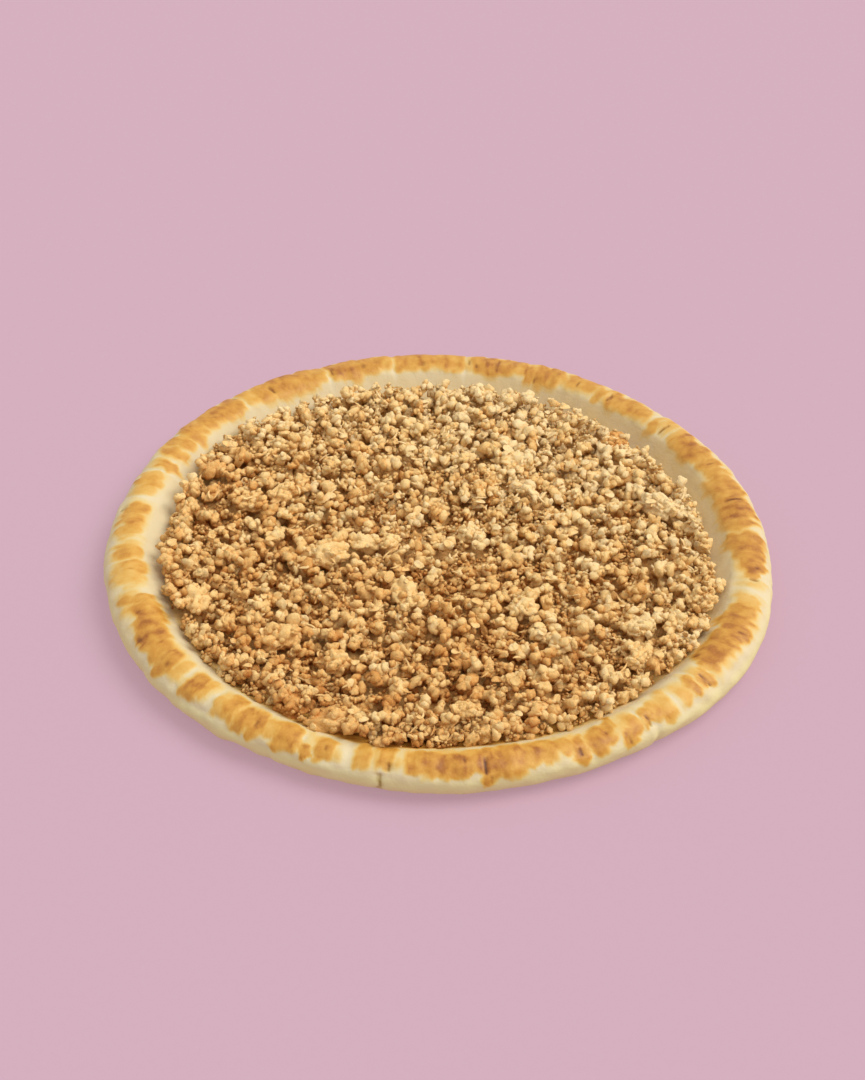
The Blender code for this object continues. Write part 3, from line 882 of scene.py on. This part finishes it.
def lying_turns(draw, count, tilt):
    """Rotation matrices that turn a flat thing about the vertical and tilt it by up to some degrees."""
    turns = []
    for _ in range(count):
        spin = draw.uniform(0, math.tau)
        lean = math.radians(draw.uniform(-tilt, tilt))
        side = draw.uniform(0, math.tau)
        axis = Vector((math.cos(side), math.sin(side), 0))
        towards = np.array(axis.to_track_quat("X", "Z").to_matrix())
        turns.append(towards @ rotation_x(lean) @ towards.T @ rotation_z(spin))
    return np.array(turns)


def rotation_x(angle):
    """Rotation matrix about the x axis."""
    cosine, sine = math.cos(angle), math.sin(angle)
    return np.array([[1, 0, 0], [0, cosine, -sine], [0, sine, cosine]])


def rotation_z(angle):
    """Rotation matrix about the z axis."""
    cosine, sine = math.cos(angle), math.sin(angle)
    return np.array([[cosine, -sine, 0], [sine, cosine, 0], [0, 0, 1]])


def picks(draw, shapes, count):
    """Numbers of randomly chosen shapes."""
    return np.array([draw.randrange(len(shapes)) for _ in range(count)])


def painted_top_light(points):
    """What to add to the tints of points round the middle of a crumb, as painted light and shade: its top
    is the palest, its underside the brownest.
    """
    return PAINTED_TOP_LIGHT * (0.35 - points[..., 2] / np.linalg.norm(points, axis=-1))


def scattered(name, heap, shapes, faces, choices, sizes, turns, places, tints):
    """One mesh of many small things: shapes picked by number, stretched, turned and placed."""
    things = shapes[choices] * np.array(sizes)[:, None, :]
    things = np.einsum("nij,nvj->nvi", turns, things)
    tints = np.array(tints)[:, None] + painted_top_light(things)
    things = things + np.array(places)[:, None, :]
    triangles = faces[None] + (np.arange(len(choices)) * shapes.shape[1])[:, None, None]
    points = things.reshape(-1, 3)
    values = {"tint": heap.light_and_shade_tints(points, tints.ravel())}
    return new_mesh(name, points, triangles.reshape(-1, 3), values)


def nub_group(draw, count, radii, flatness):
    """Nubs that are baked together, each as (x, y, z, radius), with the first in the middle."""
    group = [(0.0, 0.0, 0.0, draw.triangular(*radii))]
    while len(group) < count:
        radius = draw.triangular(*radii)
        x, y, z, other = group[int(len(group) * draw.random() ** 1.4)]
        way = Vector((draw.gauss(0, 1), draw.gauss(0, 1), draw.gauss(0, flatness))).normalized()
        place = Vector((x, y, z)) + way * (other + radius) * draw.uniform(0.48, 0.7)
        if all((place - Vector(near[:3])).length > 0.4 * (near[3] + radius) for near in group):
            group.append((*place, radius))
    return group


def drop_groups(name, heap, draw, shapes, faces):
    """Groups of nubs dropped one by one until there are as many as CRUMBS says, as one mesh."""
    total, counts, radii, tries, sink, banks = CRUMBS[name]
    radii = [radius * MM for radius in radii]
    places, sizes, tints = [], [], []
    while len(places) < total:
        group = nub_group(draw, min(draw.randint(*counts), total - len(places)), radii, 0.45)
        reach = max(math.hypot(x, y) + radius for x, y, _, radius in group)
        x, y, middle = drop(heap, draw, group, tries, sink, 0.28 * reach, banks)
        shared = draw.betavariate(1.7, 2.1)
        for dx, dy, dz, radius in group:
            places.append((x + dx, y + dy, middle + dz))
            stretch = (draw.uniform(0.9, 1.4), draw.uniform(0.85, 1.15), draw.uniform(0.7, 1.05))
            sizes.append([radius * value for value in stretch])
            tints.append(min(max(shared + draw.gauss(0, 0.14), 0), 1.2))
    choices = picks(draw, shapes, len(places))
    turns = random_turns(draw, len(places))
    return scattered(name, heap, shapes, faces, choices, sizes, turns, places, tints)


def knobby_clump(draw, length, width, height, turn, number):
    """(points, triangles, nubs) of a clump: a lumpy, knobbly body, and the nubs on it."""
    ball, faces = icosphere(4)
    lumps = 1 + 0.75 * noise_at(ball, 1.7, 31.0 * number)
    size = np.array([length, width, height]) / 2
    points = ball * lumps[:, None] * size * 0.92
    cell = 2.4 * MM
    middles = [noise.voronoi((x + number, y, z))[0][0] for x, y, z in points / cell]
    knobs = np.sqrt(np.clip(0.62 - np.array(middles) ** 2, 0, None)) - 0.5
    normals = ball / size
    normals /= np.linalg.norm(normals, axis=1)[:, None]
    points = points + normals * (knobs * cell * 0.8)[:, None]
    spin = rotation_z(math.radians(turn))
    nubs = []
    area = length * width + length * height + width * height
    for _ in range(int(area / (13 * MM * MM))):
        way = np.array([draw.gauss(0, 1) for _ in range(3)])
        way /= np.linalg.norm(way)
        way[2] = abs(way[2])
        radius = draw.triangular(0.9, 2.1, 1.4) * MM
        lump = 1 + 0.75 * noise.noise(way * 1.7 + Vector((31.0 * number, 0, 0)))
        nubs.append((*(spin @ (way * size * lump * 0.86)), radius))
    return points @ spin.T, faces, nubs


def build_clumps(heap, draw, shapes, nub_faces):
    """The named clumps, as one mesh."""
    points, faces, tints = [], [], []
    count = 0

    def keep(shape, triangles, place, tint):
        nonlocal count
        points.append(shape + place)
        faces.append(triangles + count)
        tints.append(tint + painted_top_light(shape))
        count += len(shape)

    for number, (x, y, length, width, height, turn, paleness) in enumerate(CLUMPS):
        x, y, length, width, height = x * MM, y * MM, length * MM, width * MM, height * MM
        azimuth = math.degrees(math.atan2(y, x)) % 360
        lying = math.radians(turn - azimuth)
        half = math.hypot(length / 2 * math.cos(lying), width / 2 * math.sin(lying))
        reach = min(math.hypot(x, y), float(crumb_edge(azimuth)) - half)
        x, y = reach * math.cos(math.radians(azimuth)), reach * math.sin(math.radians(azimuth))
        middle = float(heap_level(x, y)[1]) + height * (0.5 - CLUMP_SINK)
        middle = min(middle, HIGHEST - 0.6 * height)
        tint = 0.8 - 0.75 * paleness
        shape, triangles, nubs = knobby_clump(draw, length, width, height, turn, number)
        keep(shape, triangles, (x, y, middle), tint)
        for dx, dy, dz, radius in nubs:
            turned = shapes[draw.randrange(len(shapes))] @ random_turns(draw, 1)[0].T
            if middle + dz + radius < HIGHEST:
                keep(turned * radius, nub_faces, (x + dx, y + dy, middle + dz), tint + draw.gauss(0, 0.1))
        heap.cover(x, y, middle - 0.08 * height, [(0, 0, 0, (length + width + height) / 6)])
        heap.cover(x, y, middle - 0.08 * height, nubs)
    points = np.concatenate(points)
    tints = heap.light_and_shade_tints(points, np.concatenate(tints))
    return new_mesh("clumps", points, np.concatenate(faces), {"tint": tints})


def build_bed(heap):
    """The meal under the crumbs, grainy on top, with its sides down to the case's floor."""
    rings, columns = BED_RINGS, BED_COLUMNS
    azimuths = np.arange(columns) * 360 / columns
    edge = np.interp(azimuths, EDGE_AZIMUTHS, EDGE_RADII) - BED_INSET
    shares = np.sqrt(np.linspace(1 / rings, 1, rings))
    turn = np.radians(azimuths)
    x = shares[:, None] * edge * np.cos(turn)
    y = shares[:, None] * edge * np.sin(turn)
    i = ((x + HALF_WIDTH) / CELL).astype(int)
    j = ((y + HALF_WIDTH) / CELL).astype(int)
    level = heap.bed[i, j] - BED_DROP * smooth_step(shares, 0.96, 1.0)[:, None]
    top = np.stack([x, y, level], -1).reshape(-1, 3)
    flat = top * [1, 1, 0]
    top[:, 2] += 1.1 * MM * noise_at(flat, 350) + 0.7 * MM * noise_at(flat, 800, 4.0)
    foot = np.stack([x[-1], y[-1], np.full(columns, BASE_THICKNESS + BED_DROP)], -1)
    foot[:, :2] *= 0.95
    middle = np.array([[0, 0, float(heap_level(0.0, 0.0)[1]) - BED_DEPTH]])
    points = np.concatenate([top, foot, middle])
    a, b = ring_corners(rings, columns)
    outward = np.stack([a, a + columns, b], -1)
    inward = np.stack([b, a + columns, b + columns], -1)
    inner = np.arange(columns)
    fan = np.stack([inner, (inner + 1) % columns, np.full(columns, len(points) - 1)], -1)
    faces = np.concatenate([outward, inward, fan])
    bed = new_mesh("meal_bed", points, faces, {"tint": np.full(len(points), 0.6)})
    close_holes(bed)
    return bed


def build_flakes(heap, draw, count):
    """Oat flakes: thin curled ovals that lie on the crumbs."""
    shapes, faces = lumpy_shapes(8, 2, 0.25, 1.3)
    places, sizes = [], []
    for _ in range(count):
        length = draw.triangular(1.6, 3.2, 2.2) * MM
        width = length * draw.uniform(0.6, 0.8)
        places.append(drop(heap, draw, [(0, 0, 0, 0.45 * width)], 2, 0.8, 3 * MM))
        sizes.append((length, width, FLAKE_THICKNESS))
    shapes[:, :, 2] += 1.8 * shapes[:, :, 1] ** 2
    choices = picks(draw, shapes, count)
    tints = [draw.uniform(0.0, 0.5) for _ in range(count)]
    turns = lying_turns(draw, count, 50)
    return scattered("oat_flakes", heap, shapes, faces, choices, sizes, turns, places, tints)


def build_shreds(heap, draw, count):
    """Thin slivers that stick out between the crumbs."""
    shapes, faces = lumpy_shapes(5, 2, 0.3, 1.1)
    shapes[:, :, 1] += 1.4 * (shapes[:, :, 0] ** 2 - 0.4)
    places, sizes = [], []
    for _ in range(count):
        length = draw.triangular(1.8, 3.6, 2.4) * MM
        places.append(drop(heap, draw, [(0, 0, 0, SHRED_WIDTH)], 2, 0.0, 3 * MM, 1.5))
        sizes.append((length, SHRED_WIDTH, SHRED_THICKNESS))
    choices = picks(draw, shapes, count)
    tints = [draw.uniform(0.0, 0.45) for _ in range(count)]
    turns = lying_turns(draw, count, 40)
    return scattered("shreds", heap, shapes, faces, choices, sizes, turns, places, tints)


def nodes_of(material):
    """(node tree, shader) of a new material."""
    material.use_nodes = True
    tree = material.node_tree
    return tree, tree.nodes["Principled BSDF"]


def add_node(tree, kind, **settings):
    """A new node with some properties set."""
    node = tree.nodes.new(kind)
    for key, value in settings.items():
        setattr(node, key, value)
    return node


def texture_noise(tree, per_metre, detail=3.0, roughness=0.55):
    """A noise texture in the object's own space; returns its value socket."""
    place = add_node(tree, "ShaderNodeTexCoord")
    texture = add_node(tree, "ShaderNodeTexNoise")
    texture.inputs["Scale"].default_value = per_metre
    texture.inputs["Detail"].default_value = detail
    texture.inputs["Roughness"].default_value = roughness
    tree.links.new(place.outputs["Object"], texture.inputs["Vector"])
    return texture.outputs["Fac"]


def attribute(tree, name):
    """The named values on the mesh's points."""
    node = add_node(tree, "ShaderNodeAttribute", attribute_name=name)
    return node.outputs["Fac"]


def math_node(tree, operation, first, second):
    """first and second, each a socket or a number, put through a Math node."""
    node = add_node(tree, "ShaderNodeMath", operation=operation)
    for socket, value in zip(node.inputs, (first, second)):
        if isinstance(value, (int, float)):
            socket.default_value = value
        else:
            tree.links.new(value, socket)
    return node.outputs[0]


def wave(tree, value, share, middle=0.5):
    """A noise value less its middle, times a share."""
    return math_node(tree, "MULTIPLY", math_node(tree, "SUBTRACT", value, middle), share)


def tinted(tree, colour, share, tint):
    """The colour, multiplied by the tint as far as the share says."""
    node = add_node(tree, "ShaderNodeMix", data_type="RGBA", blend_type="MULTIPLY")
    tree.links.new(share, node.inputs["Factor"])
    tree.links.new(colour, node.inputs["A"])
    node.inputs["B"].default_value = (*tint, 1)
    return node.outputs["Result"]


def ramp(tree, value, stops):
    """A colour ramp with stops of (position, red, green, blue)."""
    node = add_node(tree, "ShaderNodeValToRGB")
    elements = node.color_ramp.elements
    while len(elements) < len(stops):
        elements.new(0.5)
    for element, (position, *colour) in zip(elements, stops):
        element.position = position
        element.color = (*colour, 1)
    tree.links.new(value, node.inputs["Fac"])
    return node.outputs["Color"]


def add_bump(tree, shader, layers):
    """Bump on the shader from (height socket, distance) layers."""
    normal = None
    for height, distance in layers:
        bump = add_node(tree, "ShaderNodeBump")
        bump.inputs["Strength"].default_value = 1.0
        bump.inputs["Distance"].default_value = distance
        tree.links.new(height, bump.inputs["Height"])
        if normal is not None:
            tree.links.new(normal, bump.inputs["Normal"])
        normal = bump.outputs["Normal"]
    tree.links.new(normal, shader.inputs["Normal"])


def crust_material():
    """Baked dough: cream where pale, gold to brown on the roll, with dark cracks darkened by painted
    shade, painted shade on the far right slope and painted light on the outer wall.
    """
    material = bpy.data.materials.new("baked_dough")
    tree, shader = nodes_of(material)
    mottle = texture_noise(tree, 230, 4.0, 0.6)
    specks = texture_noise(tree, 900, 3.0, 0.6)
    broad = texture_noise(tree, 55, 2.0, 0.5)
    brown = attribute(tree, "brown")
    grainy = math_node(tree, "ADD", wave(tree, mottle, 0.42), wave(tree, specks, 0.22))
    weight = math_node(tree, "MINIMUM", math_node(tree, "MULTIPLY", brown, 2.2), 1.0)
    toasted = math_node(tree, "ADD", math_node(tree, "MULTIPLY", grainy, weight), brown)
    toasted = math_node(tree, "ADD", toasted, wave(tree, broad, 0.25, 0.45))
    toasted = math_node(tree, "MULTIPLY", toasted, 0.7)
    furrowed = math_node(tree, "MULTIPLY", attribute(tree, "fold"), 0.22)
    toasted = math_node(tree, "MAXIMUM", math_node(tree, "SUBTRACT", toasted, furrowed), 0.0)
    spot = attribute(tree, "spot")
    toasted = math_node(tree, "ADD", toasted, math_node(tree, "MULTIPLY", spot, 0.22))
    colour = ramp(tree, toasted, CRUST_COLOURS)
    # Painted light: the outer wall is tinted against the floor's pink bounce light
    colour = tinted(tree, colour, attribute(tree, "wall"), WALL_BOUNCE_OFFSET)
    # Painted shade: the far right slope is darkened
    colour = tinted(tree, colour, attribute(tree, "painted_shade"), PAINTED_SHADE_TINT)
    # Painted shade: cracks and pits are darkened grey
    colour = tinted(tree, colour, math_node(tree, "MULTIPLY", spot, 0.85), CRACK_SHADE_TINT)
    tree.links.new(colour, shader.inputs["Base Color"])
    rough = math_node(tree, "ADD", math_node(tree, "MULTIPLY", brown, -0.22), 0.62)
    rough = math_node(tree, "ADD", rough, math_node(tree, "MULTIPLY", specks, 0.12))
    tree.links.new(rough, shader.inputs["Roughness"])
    shader.inputs["Specular IOR Level"].default_value = 0.4
    add_bump(tree, shader, ((mottle, 0.4 * MM), (specks, 0.12 * MM)))
    return material


def crumb_material(name, shift, fine):
    """Baked crumble, pale tan to caramel by each crumb's tint and a shift, with bump as fine says."""
    material = bpy.data.materials.new(name)
    tree, shader = nodes_of(material)
    within = texture_noise(tree, 420, 3.0, 0.6)
    grit = texture_noise(tree, 1200, 4.0, 0.7)
    over_heap = texture_noise(tree, 38, 2.0, 0.5)
    tint = attribute(tree, "tint")
    value = math_node(tree, "ADD", math_node(tree, "MULTIPLY", tint, 0.58), shift)
    for source, share in ((within, 0.6), (grit, 0.5), (over_heap, 0.45)):
        value = math_node(tree, "ADD", value, wave(tree, source, share))
    tree.links.new(ramp(tree, value, CRUMB_COLOURS), shader.inputs["Base Color"])
    rough = math_node(tree, "ADD", 0.6, math_node(tree, "MULTIPLY", grit, 0.3))
    tree.links.new(rough, shader.inputs["Roughness"])
    shader.inputs["Specular IOR Level"].default_value = 0.3
    add_bump(tree, shader, ((within, 0.9 * MM * fine), (grit, 0.6 * MM * fine)))
    return material


def floor_material():
    """A plain pale floor with a faint grain."""
    material = bpy.data.materials.new("floor")
    tree, shader = nodes_of(material)
    grain = texture_noise(tree, 300, 2.0, 0.5)
    tree.links.new(ramp(tree, grain, FLOOR_COLOURS), shader.inputs["Base Color"])
    shader.inputs["Roughness"].default_value = 0.9
    shader.inputs["Specular IOR Level"].default_value = 0.1
    shader.inputs["Emission Color"].default_value = FLOOR_GLOW
    shader.inputs["Emission Strength"].default_value = 0.5
    return material


def build_floor():
    """The floor under the case, out to the horizon."""
    bpy.ops.mesh.primitive_plane_add(size=FLOOR_SIZE, location=(0, 0, 0))
    floor = bpy.context.object
    floor.name = "floor"
    floor.data.materials.append(floor_material())


def add_lights():
    """A broad soft key from the right, and an even surround."""
    sun = bpy.data.lights.new("key", "SUN")
    sun.energy = KEY_STRENGTH
    sun.angle = math.radians(KEY_SPREAD)
    sun.color = (1.0, 0.98, 0.95)
    key = bpy.data.objects.new("key", sun)
    side, rise = math.radians(KEY_AZIMUTH), math.radians(KEY_ELEVATION)
    toward = Vector((math.cos(side), math.sin(side), math.tan(rise)))
    key.rotation_euler = toward.to_track_quat("Z", "Y").to_euler()
    bpy.context.scene.collection.objects.link(key)
    world = bpy.data.worlds.new("surround")
    bpy.context.scene.world = world
    world.use_nodes = True
    background = world.node_tree.nodes["Background"]
    background.inputs["Color"].default_value = (1.0, 0.99, 0.98, 1)
    background.inputs["Strength"].default_value = SURROUND_STRENGTH
    bpy.context.scene.view_settings.view_transform = "Standard"


def add_camera():
    """The camera at the photograph's angle, distance and framing."""
    tilt = math.radians(CAMERA_ELEVATION)
    forward = Vector((0, math.cos(tilt), -math.sin(tilt)))
    up = Vector((0, math.sin(tilt), math.cos(tilt)))
    right = Vector((1, 0, 0))
    target = Vector(CAMERA_TARGET)
    camera = bpy.data.cameras.new("camera")
    camera.sensor_width = 36
    camera.lens = LENS_MM
    holder = bpy.data.objects.new("camera", camera)
    holder.location = target - forward * CAMERA_DISTANCE
    aim = target + right * CAMERA_NUDGE[0] + up * CAMERA_NUDGE[1]
    holder.rotation_euler = (aim - holder.location).to_track_quat("-Z", "Y").to_euler()
    bpy.context.scene.collection.objects.link(holder)
    bpy.context.scene.camera = holder


def main():
    draw = random.Random(SEED)
    add_camera()
    add_lights()
    build_floor()
    crust = build_case()
    add_piece(crust, crust_material())
    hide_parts("dough_case")
    crumbs = crumb_material("crumble_topping", 0.09, 1.0)
    meal = crumb_material("crumble_meal", 0.2, 1.7)
    heap = Heap()
    bed = build_bed(heap)
    add_piece(bed, meal)
    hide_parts("crumble")
    shapes, faces = nugget_shapes(draw, 32, 2, 4, 0.3)
    add_piece(build_clumps(heap, draw, shapes, faces), crumbs)
    broken, broken_faces = nugget_shapes(draw, 24, 3, 4, 0.2, 0.42)
    add_piece(drop_groups("nuggets", heap, draw, broken, broken_faces), crumbs)
    for name in ("crumb_clusters", "small_clusters", "single_crumbs"):
        add_piece(drop_groups(name, heap, draw, shapes, faces), crumbs)
    add_piece(build_flakes(heap, draw, FLAKES), crumbs)
    add_piece(build_shreds(heap, draw, SHREDS), crumbs)
    grains, grain_faces = nugget_shapes(draw, 12, 1, 2, 0.3)
    add_piece(drop_groups("fine_crumbs", heap, draw, grains, grain_faces), meal)


main()
